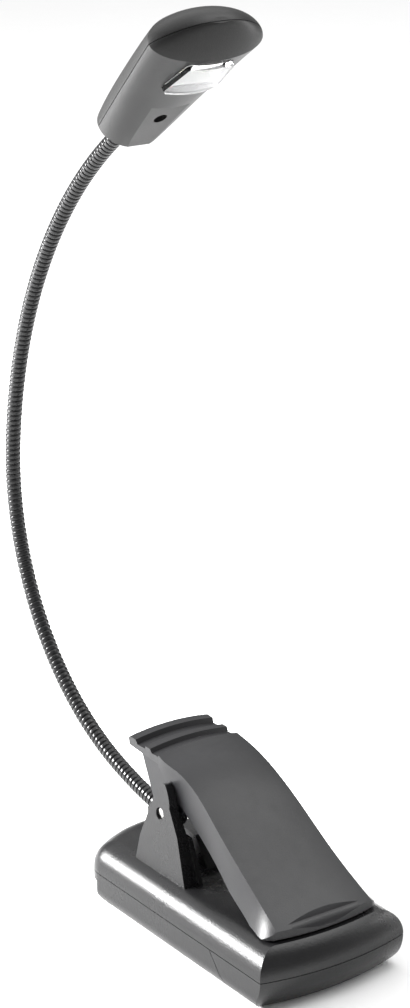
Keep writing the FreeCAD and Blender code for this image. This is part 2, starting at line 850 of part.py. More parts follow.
def clip_lever():
    body = new_body("clip_lever")
    outer = [lever_section(body, "outer", station, as_size(0), as_size(0), as_size(SKIRT_FOOT))
             for station in LEVER_STATIONS]
    loft(body, "AdditiveLoft", "lever_shell", outer)
    wall = of("lever_wall")
    inner_stations = [("start", -26.0, 14.2, 52.1, 0.0)] + LEVER_STATIONS[1:5] + [
        ("end", 27.0, 15.9, 28.2, 5.0)]
    inner = [lever_section(body, "inner", station, wall, wall * 1.2, as_size(SKIRT_FOOT - 2))
             for station in inner_stations]
    loft(body, "SubtractiveLoft", "lever_hollow", inner)

    # the lower edge of the skirt
    lip = of("lever_lip_height")
    skirt = new_sketch(body, "XZ_Plane", "skirt_edge")
    outline(skirt, [
        (-30, 0),
        (60, 0),
        (60, lip),
        (34, lip),
        (28.4, lip + 0.5),
        (15.4, 24.7),
        (-1.8, 34.3),
        (-18.7, 44.2),
        (-22.0, 48.0),
        (-30, 48.0),
    ])
    pocket(body, "skirt_trim", skirt, over_all, both_ways=True)

    # the front lip: rounded over in side view, bowed in plan with round corners
    nose = new_sketch(body, "XZ_Plane", "lip_side")
    front = of("lever_front")
    outline(nose, [
        (front, lip - 1),
        (front + 20, lip - 1),
        (front + 20, lip + 15),
        (front - 7, lip + 15),
        (front - 7, lip + 7),
        (front - 2.4, lip + 3.3, 14, -1),
        (front, lip + 0.7, 3.2, -1),
    ])
    pocket(body, "lip_round", nose, over_all, both_ways=True)
    bow = new_sketch(body, "XY_Plane", "lip_plan", 0)
    reach = of("lip_half_width")
    outline(bow, [
        (front - 5.8, reach + 6),
        (front - 5.8, reach),
        (front - 2, reach - 2.9, 4.6, -1),
        (front - 2, -reach + 2.9, 75, -1),
        (front - 5.8, -reach, 4.6, -1),
        (front - 5.8, -reach - 6),
        (front + 20, -reach - 6),
        (front + 20, reach + 6),
    ])
    pocket(body, "lip_bow", bow, 80, reversed_way=True)

    # thumb plate with two raised ribs, crowned like the rest
    ribs = new_sketch(body, "XZ_Plane", "thumb_side")
    crown = of("lever_crown")
    side = of("thumb_half_width")
    radius = (side * side + crown * crown) / (crown * 2)
    outline(ribs, [
        (-39.1, 49.6 + crown),
        (-36.0, 49.2 + crown),
        (-20.0, 48.2 + crown),
        (-20.0, 51.3 + crown),
        (-27.0, 51.1 + crown),
        (-27.7, 52.3 + crown),
        (-29.9, 52.4 + crown),
        (-30.6, 51.3 + crown),
        (-34.5, 51.2 + crown),
        (-35.2, 52.6 + crown),
        (-38.1, 52.7 + crown),
        (-39.0, 51.9 + crown),
    ])
    axis_sketch = new_sketch(body, "XZ_Plane", "thumb_axis")
    axis_height = 52 + crown - radius
    axis_sketch.addGeometry(Part.LineSegment(V(0, axis_height.number, 0),
                                             V(10, axis_height.number, 0)), False)
    pin_point(axis_sketch, 0, 1, 0, axis_height)
    pin_point(axis_sketch, 0, 2, 10, axis_height)
    spread = math.degrees(math.asin(side.number / radius.number)) * 2
    turn(body, "Revolution", "thumb_plate", ribs, (axis_sketch, ["Edge1"]), spread, both_ways=True)

    # two flanges that hang on the pin
    pin_x, pin_z = of("pin_forward"), of("pin_height")
    eye = of("pin_boss_radius")
    for way, name in ((-1, "near"), (1, "far")):
        start = of("flange_outer") if way < 0 else -of("flange_outer")
        flange = new_sketch(body, "XZ_Plane", name + "_flange_side", start)
        outline(flange, [
            (-33.2, 49.6),
            (-27.0, pin_z),
            (pin_x - eye, pin_z - 1.6),
            (pin_x, pin_z - eye, 5.3, 1),
            (pin_x + eye, pin_z, 5.1, 1),
            (pin_x + eye + 2, pin_z + 2.5),
            (-5.0, 44.0),
            (-16.0, 49.0),
        ])
        pad(body, name + "_flange", flange, of("flange_thickness"), reversed_way=way < 0)
    hole = new_sketch(body, "XZ_Plane", "lever_pin_hole")
    circle_outline(hole, pin_x, pin_z, of("pin_radius") + of("pin_clearance"))
    pocket(body, "lever_pin_bore", hole, over_all, both_ways=True)

    # seat for the upper jaw pad
    seat = new_sketch(body, "XY_Plane", "upper_pad_seat", lip - 0.5)
    box_outline(seat, of("pad_rear") + 3, -of("pad_half_width"), of("pad_front"),
                of("pad_half_width"))
    pocket(body, "upper_pad_recess", seat, of("pad_thickness") - of("pad_stand") + 0.5,
           reversed_way=True)
    return body


def jaw_pad(label, rear, low):
    pad_box = solid("Box", label, Length=of("pad_front") - rear - 0.2,
                    Width=of("pad_half_width") * 2 - 0.2, Height=of("pad_thickness"))
    return place(pad_box, rear + 0.1, -of("pad_half_width") + 0.1, low)


# ---------------------------------------------------------------- neck
def neck_legs():
    """The neck's legs in order: start distance, length, start point, heading, bend radius."""
    point = V(mm("neck_root_x"), 0, mm("neck_root_z"))
    heading = mm("neck_root_heading")
    plan = [(mm("neck_root_length"), 0.0, 0.0)]
    for name in ("one", "two", "three"):
        radius = mm("arc_%s_radius" % name)
        angle = mm("arc_%s_turn" % name)
        plan.append((radius * math.radians(angle), radius, angle))
    plan.append((mm("neck_end_length"), 0.0, 0.0))
    legs = []
    covered = 0.0
    for length, radius, angle in plan:
        legs.append((covered, length, point, heading, radius))
        point, heading = leg_place(legs[-1], length)
        covered += length
    return legs


def direction(heading):
    return V(math.cos(math.radians(heading)), 0, math.sin(math.radians(heading)))


def leg_place(leg, along):
    """Point and heading at a distance along one leg; a bent leg turns clockwise."""
    start, length, point, heading, radius = leg
    if radius == 0:
        return point + direction(heading) * along, heading
    after = heading - math.degrees(along / radius)
    centre = point + direction(heading - 90) * radius
    return centre - direction(after - 90) * radius, after


LEGS = neck_legs()
NECK_LENGTH = LEGS[-1][0] + LEGS[-1][1]


def neck_place(distance):
    for leg in LEGS:
        if distance <= leg[0] + leg[1] + 1e-6:
            return leg_place(leg, distance - leg[0])
    return leg_place(LEGS[-1], distance - LEGS[-1][0])


def neck_run(begin, finish, radius, side=0.0):
    """A round bar along the neck's route between two distances, moved sideways if asked."""
    solids = []
    for leg in LEGS:
        low = max(begin, leg[0]) if leg is not LEGS[0] else begin
        high = min(finish, leg[0] + leg[1]) if leg is not LEGS[-1] else finish
        if high - low < 1e-6:
            continue
        point, heading = leg_place(leg, low - leg[0])
        disc = Part.Face(Part.Wire(Part.makeCircle(radius, point + V(0, side, 0), direction(heading))))
        if leg[4] == 0:
            solids.append(disc.extrude(direction(heading) * (high - low)))
        else:
            centre = point + direction(heading - 90) * leg[4]
            angle = math.degrees((high - low) / leg[4])
            solids.append(disc.revolve(centre, V(0, 1, 0), angle))
    if len(solids) == 1:
        return solids[0]
    return solids[0].multiFuse(solids[1:]).removeSplitter()


BEND_COUNT = 7
BENDS = [mm("first_bend") + (mm("last_bend") - mm("first_bend")) * i / (BEND_COUNT - 1)
         for i in range(BEND_COUNT)]


def neck_segment(number):
    """A stretch of the gooseneck, with a ball at its head end and a cup at its base end."""
    radius = mm("neck_radius")
    cup = radius + mm("neck_joint_clearance")
    rim = math.sqrt(cup ** 2 - radius ** 2) * 0.9
    begin = 0.0 if number == 0 else BENDS[number - 1] + rim
    finish = NECK_LENGTH if number == BEND_COUNT else BENDS[number]
    tube = neck_run(begin, finish, radius)
    bore_start, bore_end = begin - 1, finish + 1
    if number < BEND_COUNT:
        point, heading = neck_place(finish)
        tube = tube.fuse(Part.makeSphere(radius, point))
        bore_end = finish + radius + 1
    if number > 0:
        point, heading = neck_place(BENDS[number - 1])
        tube = tube.cut(Part.makeSphere(cup, point))
    tube = tube.cut(neck_run(bore_start, bore_end, mm("neck_bore")))
    return feature("neck_segment_%d" % (number + 1), tube)


def neck_wires(number):
    """The two insulated wires inside one stretch of the neck, broken just past each ball."""
    gap = 0.25
    begin = 0.0 if number == 0 else BENDS[number - 1] + mm("neck_radius") + gap
    finish = NECK_LENGTH if number == BEND_COUNT else BENDS[number] + mm("neck_radius") - gap
    pair = [neck_run(begin, finish, mm("wire_radius"), mm("wire_spacing") / 2 * way)
            for way in (-1, 1)]
    return feature("neck_wires_%d" % (number + 1), Part.makeCompound(pair))


def ferrule(label, begin, finish):
    """The sleeve crimped on one end of the gooseneck."""
    sleeve = neck_run(begin, finish, mm("ferrule_radius"))
    bore = neck_run(begin - 1, finish + 1, mm("neck_radius") + 0.02)
    return feature(label, sleeve.cut(bore))


def rod_along(points, radius, bend):
    """A round wire along straight runs joined by tangent arcs."""
    pieces = []
    begin = points[0]
    for before, corner, after in zip(points, points[1:], points[2:]):
        arriving = (corner - before).normalize()
        leaving = (after - corner).normalize()
        angle = arriving.getAngle(leaving)
        back = bend * math.tan(angle / 2)
        entry = corner - arriving * back
        pieces.append(Part.makeCylinder(radius, (entry - begin).Length, begin, arriving))
        axis = arriving.cross(leaving).normalize()
        centre = entry + axis.cross(arriving) * bend
        disc = Part.Face(Part.Wire(Part.makeCircle(radius, entry, arriving)))
        pieces.append(disc.revolve(centre, axis, math.degrees(angle)))
        begin = corner + leaving * back
    last = points[-1] - begin
    pieces.append(Part.makeCylinder(radius, last.Length, begin, last))
    return pieces[0].multiFuse(pieces[1:]).removeSplitter()


def base_leads():
    """The pair of wires from the neck's root, over the tray, to the contact plates."""
    ceiling = mm("base_height") - mm("shell_wall")
    level = (tray_low.number + mm("tray_thickness") + ceiling) / 2
    end_x = cell_end.number + 1.05
    root, heading = neck_place(0)
    inward = direction(heading + 180)
    wires = []
    for way in (-1, 1):
        y = mm("wire_spacing") / 2 * way
        end_y = -3 if way < 0 else mm("cell_pitch") - 3
        turn_in = root + inward * 11
        route = [root + V(0, y, 0) + inward * 0.2,
                 V(turn_in.x, y, turn_in.z),
                 V(mm("boss_front") - 3.5, y, level),
                 V(mm("boss_front") + 2, y, level),
                 V(end_x, end_y, level),
                 V(end_x, end_y, cell_axis.number + 2.5)]
        wires.append(rod_along(route, mm("wire_radius"), 1.2))
    return feature("base_leads", Part.makeCompound(wires))


# ---------------------------------------------------------------- head
# The head is laid out along its own axis, which carries on from the neck's straight end:
# along, half width, height above the seam and depth below it, all scaled by head_scale.
HEAD_BODY = [
    (13.0, 10.5, 7.2, 7.9),
    (22.0, 12.2, 8.5, 7.7),
    (34.0, 14.3, 9.2, 7.2),
    (47.0, 16.5, 9.4, 7.0),
    (60.5, 18.7, 8.9, 7.2),
]
HEAD_NOSE = [
    (60.5, 18.7, 8.9, 7.2),
    (63.2, 16.6, 8.0, 5.6),
    (66.0, 13.0, 6.3, 3.6),
    (68.2, 8.4, 4.0, 1.8),
    (69.4, 2.6, 1.3, 0.6),
]
board_low = -0.3
HEAD_ORIGIN, HEAD_HEADING = neck_place(NECK_LENGTH - mm("neck_end_length"))
HEAD_PLACE = FreeCAD.Placement(HEAD_ORIGIN, FreeCAD.Rotation(V(0, 1, 0), -HEAD_HEADING))


def half_section(station, inset, above):
    """Half an ellipse above or below the seam plane, closed along the seam."""
    along, half, height, depth = station
    scale = mm("head_scale")
    half = half * scale - inset
    rise = (height if above else -depth) * scale
    rise -= inset if above else -inset
    along = mm("head_rear") + (along - 13.0) * scale
    ellipse = Part.Ellipse(V(along, half, 0), V(along, 0, rise), V(along, 0, 0))
    arc = Part.ArcOfEllipse(ellipse, 0, math.pi).toShape()
    return Part.Wire([arc, Part.makeLine(V(along, -half, 0), V(along, half, 0))])


def head_half(above, inset=0.0, rear_inset=0.0):
    """The upper or the lower half of the head, whole or as the core of its hollow."""
    main = [half_section(s, inset, above) for s in HEAD_BODY]
    main = Part.makeLoft(main, True, False)
    nose = [half_section((s[0] - inset * 0.5, s[1], s[2], s[3]), inset, above)
            for s in HEAD_NOSE if s[1] > inset + 2 and min(s[2], s[3]) > inset + 0.3]
    nose[0] = half_section(HEAD_NOSE[0], inset, above)
    whole = main.fuse(Part.makeLoft(nose, True, False))
    if rear_inset:
        rear = mm("head_rear")
        whole = whole.cut(Part.makeBox(rear_inset + 5, 60, 60, V(rear - 5, -30, -30)))
    return whole


def slab(low, high, reach=40.0):
    """A wide slab between two heights over the seam, for trimming."""
    return Part.makeBox(120, 2 * reach, high - low, V(-20, -reach, low))


def prism(points, half):
    """A prism from an outline in the head's middle plane, equally to both sides."""
    corners = [V(x, -half, z) for x, z in points]
    face = Part.Face(Part.makePolygon(corners + corners[:1]))
    return face.extrude(V(0, 2 * half, 0))


def window_prism(grow, low, high):
    """The lamp window's plan, a little wider at the back, between two heights."""
    rear, front = mm("window_rear") - grow, mm("window_front") + grow
    wide, slim = mm("window_rear_half") + grow, mm("window_front_half") + grow
    corners = [V(rear, -wide, low), V(front, -slim, low), V(front, slim, low), V(rear, wide, low)]
    prism_solid = Part.Face(Part.makePolygon(corners + corners[:1])).extrude(V(0, 0, high - low))
    uprights = [e for e in prism_solid.Edges if abs(e.tangentAt(e.FirstParameter).z) > 0.9]
    return prism_solid.makeFillet(max(1.6 + grow, 0.5), uprights)


def head_feature(label, shape):
    thing = feature(label, shape)
    thing.Placement = HEAD_PLACE
    return thing


def saddle(above):
    """The block inside a cover that holds the neck's ferrule."""
    rear = mm("head_rear") + 1
    block = Part.makeBox(mm("ferrule_length") + 1.6, 11, 7, V(rear, -5.5, 0 if above else -7))
    return block.common(head_half(above, 0.3))


def neck_cavity():
    rear = mm("head_rear")
    sleeve = mm("ferrule_radius") + mm("ferrule_clearance")
    wide = Part.makeCylinder(sleeve, mm("ferrule_length") + 4, V(rear + 1.5, 0, 0), V(1, 0, 0))
    mouth = Part.makeCylinder(mm("neck_radius") + 0.2, 4, V(rear - 1, 0, 0), V(1, 0, 0))
    return wide.fuse(mouth)


def slot_solid(grow):
    """The room that the slider's stem sweeps through the top cover."""
    rear = mm("slider_rear") + 10 - grow
    length = mm("stem_length") - 2 + mm("slider_travel") + 2 * grow
    half = mm("stem_half_width") + grow
    return Part.makeBox(length, 2 * half, 20, V(rear, -half, 0))


def head_top_cover():
    wall = mm("head_wall")
    shell = head_half(True).cut(head_half(True, wall, wall)).fuse(saddle(True))
    post_place = V(mm("head_screw_place"), 0, mm("head_seam") / 2)
    post = Part.makeCylinder(2.3, 9, post_place, V(0, 0, 1)).common(head_half(True, 0.3))
    shell = shell.fuse(post)
    mark = Part.makeBox(3.6, 6.8, 4, V(15.4, -3.4, 5.6))
    limit = head_half(True, -1.0)
    shell = shell.fuse(mark.common(limit))
    shell = shell.cut(neck_cavity())
    shell = shell.cut(slot_solid(mm("slider_clearance")))
    pilot = Part.makeCylinder(mm("head_screw_radius") + 0.03, 6, V(post_place.x, 0, -1), V(0, 0, 1))
    shell = shell.cut(pilot)
    shell = shell.cut(slab(-30, mm("head_seam") / 2))
    return head_feature("head_top_cover", shell)


def recess_floor(along):
    """Height of the flat panel on the underside; it runs out at the rear end."""
    rear, front = mm("head_rear"), mm("recess_front")
    return -7.4 + 1.0 * (along - rear) / (front - rear)


def head_bottom_cover():
    wall = mm("head_wall")
    rear, front = mm("head_rear"), mm("recess_front")
    half = mm("recess_half_width")
    shell = head_half(False).cut(head_half(False, wall, wall)).fuse(saddle(False))
    backing = prism([(rear + 0.5, recess_floor(rear) + 1.4), (front + 1.4, recess_floor(front) + 1.4),
                     (front + 1.4, -7), (rear + 0.5, -7.8)], half + 1.4)
    shell = shell.fuse(backing.common(head_half(False, 0.2)))
    post_place = V(mm("head_screw_place"), 0, recess_floor(mm("head_screw_place")) + 0.2)
    post = Part.makeCylinder(2.6, -post_place.z, post_place, V(0, 0, 1))
    shell = shell.fuse(post)
    panel = prism([(rear - 2, recess_floor(rear - 2)), (front, recess_floor(front)),
                   (front + 0.8, -12), (rear - 2, -12)], half)
    shell = shell.cut(panel)
    shell = shell.cut(window_prism(0, -20, 2))
    shell = shell.cut(neck_cavity())
    bore = Part.makeCylinder(mm("head_screw_radius") + 0.15, 20, V(post_place.x, 0, -12), V(0, 0, 1))
    sink = Part.makeCylinder(mm("head_screw_head_radius") + 0.2, 12, V(post_place.x, 0, -14.6),
                             V(0, 0, 1))
    shell = shell.cut(bore).cut(sink)
    shell = shell.cut(slab(-mm("head_seam") / 2, 30))
    return head_feature("head_bottom_cover", shell)


def lens():
    clear = mm("lens_clearance")
    bulge = mm("lens_bulge")
    outer = head_half(False, -bulge)
    inner = head_half(False, mm("lens_thickness") - bulge)
    pane = window_prism(-clear, -20, -2.2).common(outer).cut(inner)
    return head_feature("lens", pane)


def reflector():
    """A white tray over the window, with two holes for the light-emitting diodes."""
    skin = 0.8
    top = -1.3
    tray = window_prism(-0.9, -5.0, top).cut(window_prism(-0.9 - skin, -6.0, top - skin))
    tray = tray.common(head_half(False, mm("lens_thickness") - mm("lens_bulge") + 0.25))
    for way in (-1, 1):
        tray = tray.cut(Part.makeCylinder(mm("led_radius") + 0.2, 6,
                                          V(led_place(), mm("led_spacing") / 2 * way, -4), V(0, 0, 1)))
    return head_feature("reflector", tray)


def led_place():
    return mm("window_rear") + 5.4


def led(label, way):
    """A round light-emitting diode with a domed end, facing down."""
    radius = mm("led_radius")
    base = V(led_place(), mm("led_spacing") / 2 * way, board_low - 0.02)
    flange = Part.makeCylinder(radius + 0.15, 0.7, base, V(0, 0, -1))
    can = Part.makeCylinder(radius, 2.3, base, V(0, 0, -1))
    dome = Part.makeSphere(radius, base + V(0, 0, -2.3))
    return head_feature(label, flange.fuse(can).fuse(dome))


def led_board():
    thickness = mm("board_thickness")
    rear = mm("window_rear") - 1.5
    length = mm("window_front") - rear
    board = Part.makeBox(length, 18, thickness, V(rear, -9, board_low))
    return head_feature("led_board", board)


def board_resistors():
    """Two small resistors on the upper side of the board."""
    low = board_low + mm("board_thickness") + 0.02
    pieces = [Part.makeBox(3.2, 1.6, 0.8, V(led_place() + 2, 4 * way - 0.8, low)) for way in (-1, 1)]
    return head_feature("board_resistors", Part.makeCompound(pieces))


def switch_body():
    rear = mm("slider_rear") + 9.2
    case = Part.makeBox(12.2, 7, 4.4, V(rear, -3.5, 1.8))
    well = slot_solid(0.25).common(slab(3.4, 12))
    return head_feature("switch_body", case.cut(well))


def switch_slider():
    """The thumb piece on the head's back, with a groove across it and a stem through the slot."""
    rear, front = mm("slider_rear"), mm("slider_front")
    half = mm("slider_half_width")
    lift = mm("slider_clearance")
    span = Part.makeBox(front - rear, 2 * half, 12, V(rear, -half, 4))
    plate = span.common(head_half(True, -mm("slider_rise")))
    back = head_half(True, -lift)
    for part_way in (0, 0.25, 0.5, 0.75, 1):
        # the plate's underside clears the cover wherever the slider stands
        passed = back.copy()
        passed.translate(V(-mm("slider_travel") * part_way, 0, 0))
        plate = plate.cut(passed)
    groove = Part.makeBox(0.9, 20, 4, V(rear + 4.2, -10, mm("head_scale") * 9.4 + 0.2))
    plate = plate.cut(groove)
    for step in range(5):
        rib_gap = Part.makeBox(0.5, 20, 4, V(rear + 7.2 + 1.9 * step, -10, 9.9))
        plate = plate.cut(rib_gap)
    stem = Part.makeBox(mm("stem_length") - 2, 2 * mm("stem_half_width"), 8,
                        V(rear + 10, -mm("stem_half_width"), 3.8))
    stem = stem.common(head_half(True, -mm("slider_rise") / 2))
    return head_feature("switch_slider", plate.fuse(stem))


def head_screw():
    """One screw from the underside panel into the post of the top cover."""
    x = mm("head_screw_place")
    seat = -2.6
    head = Part.makeCylinder(mm("head_screw_head_radius"), 1.2, V(x, 0, seat - 1.2), V(0, 0, 1))
    shank = Part.makeCylinder(mm("head_screw_radius"), 6.8, V(x, 0, seat - 0.1), V(0, 0, 1))
    slot_bar = Part.makeBox(2.6, 0.5, 0.5, V(x - 1.3, -0.25, seat - 1.3))
    cross = Part.makeBox(0.5, 2.6, 0.5, V(x - 0.25, -1.3, seat - 1.3))
    return head_feature("head_screw", head.fuse(shank).cut(slot_bar).cut(cross))


def head_leads():
    """The pair of wires from the neck's end, round the screw post, to the board."""
    start = mm("neck_end_length")
    wires = []
    for way in (-1, 1):
        y = mm("wire_spacing") / 2 * way
        route = [V(start + 0.2, y, 0), V(start + 2.0, y, 0), V(start + 4.2, 3.6 * way, 0.4),
                 V(mm("window_rear") - 2.2, 3.6 * way, 0.4)]
        wires.append(rod_along(route, mm("wire_radius"), 1.0))
    return head_feature("head_leads", Part.makeCompound(wires))


def case_screws():
    """The two screws that hold the front shell up to the top shell."""
    head_height = 1.3
    low = screw_seat.number - head_height - 0.02
    pieces = []
    for way in (-1, 1):
        x, y = screw_x.number, screw_y.number * way
        head = Part.makeCylinder(mm("case_screw_head_radius"), head_height, V(x, y, low))
        reach = mm("case_screw_reach") - low - 1
        shank = Part.makeCylinder(mm("case_screw_radius"), reach, V(x, y, low + 1))
        cross = [Part.makeBox(2.4, 0.5, 0.6, V(x - 1.2, y - 0.25, low)),
                 Part.makeBox(0.5, 2.4, 0.6, V(x - 0.25, y - 1.2, low))]
        pieces.append(head.fuse(shank).cut(cross[0]).cut(cross[1]))
    return feature("case_screws", Part.makeCompound(pieces))


def check_and_export(parts):
    doc.recompute()
    for thing in doc.Objects:
        if "Invalid" in thing.State or "Error" in thing.State:
            raise RuntimeError("%s is %s" % (thing.Name, thing.State))
    os.makedirs("parts", exist_ok=True)
    for thing in parts:
        shape = thing.Shape
        if shape.isNull() or not shape.isValid() or shape.Volume <= 0:
            raise RuntimeError("%s has no valid solid" % thing.Label)
        shape.exportStep("parts/%s.step" % thing.Label)
        print("%-22s %2d solids %9.1f mm3" % (thing.Label, len(shape.Solids), shape.Volume))


parts = [
    base_top_shell(),
    front_shell(),
    battery_door(),
    battery_cell("battery_cell_near", -1),
    battery_cell("battery_cell_middle", 0),
    battery_cell("battery_cell_far", 1),
    cell_tray(),
    contact_plates(),
    contact_springs(),
    pivot_pin(),
    torsion_spring(),
    clip_lever(),
    jaw_pad("lower_jaw_pad", of("pad_rear"), of("base_height") - of("pad_thickness") + of("pad_stand")),
    jaw_pad("upper_jaw_pad", of("pad_rear") + 3, of("lever_lip_height") - of("pad_stand")),
    base_leads(),
    ferrule("base_ferrule", 0.0, mm("ferrule_length")),
    case_screws(),
    ferrule("head_ferrule", NECK_LENGTH - mm("ferrule_length") + 1.5, NECK_LENGTH + 1.5),
    head_top_cover(),
    head_bottom_cover(),
    lens(),
    reflector(),
    led_board(),
    led("led_near", -1),
    led("led_far", 1),
    board_resistors(),
    switch_body(),
    switch_slider(),
    head_screw(),
    head_leads(),
]
parts += [neck_segment(number) for number in range(BEND_COUNT + 1)]
parts += [neck_wires(number) for number in range(BEND_COUNT + 1)]
check_and_export(parts)
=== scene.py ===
"""Looks for the clip on reading lamp: finishes, wound gooseneck, wires, spring and studio."""
import json
import math

import bpy
import numpy as np
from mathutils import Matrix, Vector

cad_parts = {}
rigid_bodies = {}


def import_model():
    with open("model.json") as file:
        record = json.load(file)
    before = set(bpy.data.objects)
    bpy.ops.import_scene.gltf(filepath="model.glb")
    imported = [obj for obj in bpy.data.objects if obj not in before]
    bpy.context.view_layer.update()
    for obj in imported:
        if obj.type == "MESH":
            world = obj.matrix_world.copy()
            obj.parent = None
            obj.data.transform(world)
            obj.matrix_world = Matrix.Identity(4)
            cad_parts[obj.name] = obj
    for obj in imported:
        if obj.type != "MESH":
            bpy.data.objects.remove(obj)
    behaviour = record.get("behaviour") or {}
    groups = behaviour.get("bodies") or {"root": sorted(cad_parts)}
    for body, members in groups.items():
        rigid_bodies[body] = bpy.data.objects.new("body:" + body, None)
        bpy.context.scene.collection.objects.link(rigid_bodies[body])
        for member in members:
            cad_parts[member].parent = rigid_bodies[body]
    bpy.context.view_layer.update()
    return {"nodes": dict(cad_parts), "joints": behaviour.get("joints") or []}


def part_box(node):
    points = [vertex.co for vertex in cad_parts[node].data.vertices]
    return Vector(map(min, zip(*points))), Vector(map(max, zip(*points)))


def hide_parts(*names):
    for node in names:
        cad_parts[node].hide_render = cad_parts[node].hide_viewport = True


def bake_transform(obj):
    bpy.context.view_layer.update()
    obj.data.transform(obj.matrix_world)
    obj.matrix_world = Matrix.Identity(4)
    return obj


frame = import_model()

MM = 0.001
NODES = frame["nodes"]

# ------------------------------------------------------------------ gooseneck route, in mm
ROOT_POINT = (-28.0, 21.74)
ROOT_HEADING = 170.9
# each leg of the route: its length, or the bend radius and the angle that it turns through
ROUTE_LEGS = (
    ("straight", 17.0),
    ("bend", 132.7, 10.3),
    ("bend", 85.3, 75.2),
    ("bend", 149.5, 47.8),
    ("straight", 22.0),
)
NECK_RADIUS = 2.45
NECK_BORE = 1.55
FIRST_BEND = 44.0
LAST_BEND = 283.0
BEND_COUNT = 7
WIRE_PITCH = 1.7            # one turn of the gooseneck's winding
GROOVE_DEPTH = 0.5
LEAD_RADIUS = 0.45
LEAD_SPACING = 1.1
BEND_REACH = 19.5           # the points this far each side of a joint are worked out but not used
NECK_END_GAP = 0.1          # the winding starts and stops this far inside the route
ROUNDING = 1e-9             # keeps the first point of a leg on that leg

# how finely the round pieces are meshed
AROUND = 24                 # points round the winding
STEPS_PER_TURN = 12         # rings in one turn of the winding
GROOVE_POWER = 5            # the higher, the narrower the groove between turns
WIRE_AROUND = 10            # points round a lead or the spring's wire
LEAD_STEP = 1.5             # distance between the rings of a lead
COIL_STEPS = 20             # rings in one turn of the spring
LEG_STEPS = 10              # rings along each leg of the spring


def direction(heading):
    """Unit vectors in the middle plane for headings in degrees, from +X towards +Z."""
    angle = np.radians(heading)
    return np.stack([np.cos(angle), np.sin(angle)], -1)


def route_legs():
    """Start distance, length, start point, heading and bend radius of every leg."""
    point, heading, covered, legs = np.array(ROOT_POINT), ROOT_HEADING, 0.0, []
    for leg in ROUTE_LEGS:
        if leg[0] == "straight":
            length, radius = leg[1], None
            finish = point + direction(heading) * length
            turned = heading
        else:
            radius, length = leg[1], leg[1] * math.radians(leg[2])
            turned = heading - leg[2]
            finish = point + radius * (direction(heading - 90) - direction(turned - 90))
        legs.append((covered, length, point, heading, radius))
        point, heading, covered = finish, turned, covered + length
    return legs


LEGS = route_legs()
NECK_LENGTH = LEGS[-1][0] + LEGS[-1][1]
BENDS = np.linspace(FIRST_BEND, LAST_BEND, BEND_COUNT)


def route(distance):
    """Points and headings along the route. On a straight leg the point is start plus heading
    times distance; on a bend it goes clockwise round the bend's centre."""
    distance = np.atleast_1d(np.asarray(distance, float))
    points = np.zeros((len(distance), 2))
    headings = np.zeros(len(distance))
    for start, length, point, heading, radius in LEGS:
        here = distance >= start - ROUNDING
        along = distance[here] - start
        if radius is None:
            points[here] = point + direction(heading) * along[:, None]
            headings[here] = heading
        else:
            turned = heading - np.degrees(along / radius)
            points[here] = point + radius * (direction(heading - 90) - direction(turned - 90))
            headings[here] = turned
    return points, headings


def route_point(distance):
    """One point on the gooseneck's centreline, in metres in the frame."""
    (x, z), = route(distance)[0]
    return (x * MM, 0.0, z * MM)


# ------------------------------------------------------------------ mesh helpers
def grid_faces(rows, columns, wrap_rows=False):
    """Quads of a grid of rows by columns, as an array. The last column joins the first, and so
    does the last row if wrap_rows is set."""
    r = np.arange(rows if wrap_rows else rows - 1)
    r, c = np.meshgrid(r, np.arange(columns), indexing="ij")
    r_next, c_next = (r + 1) % rows, (c + 1) % columns
    quads = np.stack([r * columns + c, r * columns + c_next,
                      r_next * columns + c_next, r_next * columns + c], -1)
    return quads.reshape(-1, 4)


def mesh_piece(name, points, quads, caps=(), values=None):
    """A smooth mesh object at the origin from points in mm, quads, flat caps given as index rings
    that run anticlockwise when seen from outside, and a value per point for each attribute."""
    mesh = bpy.data.meshes.new(name)
    faces = [tuple(q) for q in quads.tolist()] + [tuple(c) for c in caps]
    mesh.from_pydata((np.asarray(points) * MM).tolist(), [], faces)
    mesh.update()
    mesh.polygons.foreach_set("use_smooth", np.ones(len(mesh.polygons), bool))
    for key, data in (values or {}).items():
        attribute = mesh.attributes.new(key, "FLOAT", "POINT")
        attribute.data.foreach_set("value", np.asarray(data, np.float32))
    piece = bpy.data.objects.new(name, mesh)
    bpy.context.scene.collection.objects.link(piece)
    return piece


def tube_rings(centres, tangents, side, radii, angles):
    """Rings about a path: centre plus radius times (cos a times across plus sin a times up), where
    across is side made square to the path, and up is square to both. Radii may be per ring or per
    point."""
    tangents = tangents / np.linalg.norm(tangents, axis=1, keepdims=True)
    across = side - tangents * np.sum(tangents * side, axis=1)[:, None]
    across = across / np.linalg.norm(across, axis=1, keepdims=True)
    up = np.cross(tangents, across)
    radii = np.asarray(radii, float)
    radii = radii[:, None] if radii.ndim == 1 else radii
    cosine, sine = np.cos(angles)[None, :, None], np.sin(angles)[None, :, None]
    ring = cosine * across[:, None] + sine * up[:, None]
    return centres[:, None] + radii[..., None] * ring


def circle(around):
    """Angles of points spaced evenly round a circle."""
    return np.arange(around) * 2 * np.pi / around


# ------------------------------------------------------------------ gooseneck
def neck_rings(distance, radii, side_offset=0.0, around=AROUND):
    """Rings at distances along the route, or about a line beside it: the centre is the route's
    point moved along Y by the offset, and angle 0 points along Y."""
    points, headings = route(distance)
    centres = np.stack([points[:, 0], np.full(len(points), side_offset), points[:, 1]], -1)
    flat = direction(headings)
    tangents = np.stack([flat[:, 0], np.zeros(len(flat)), flat[:, 1]], -1)
    return tube_rings(centres, tangents, np.array([0.0, 1.0, 0.0]), radii, circle(around))


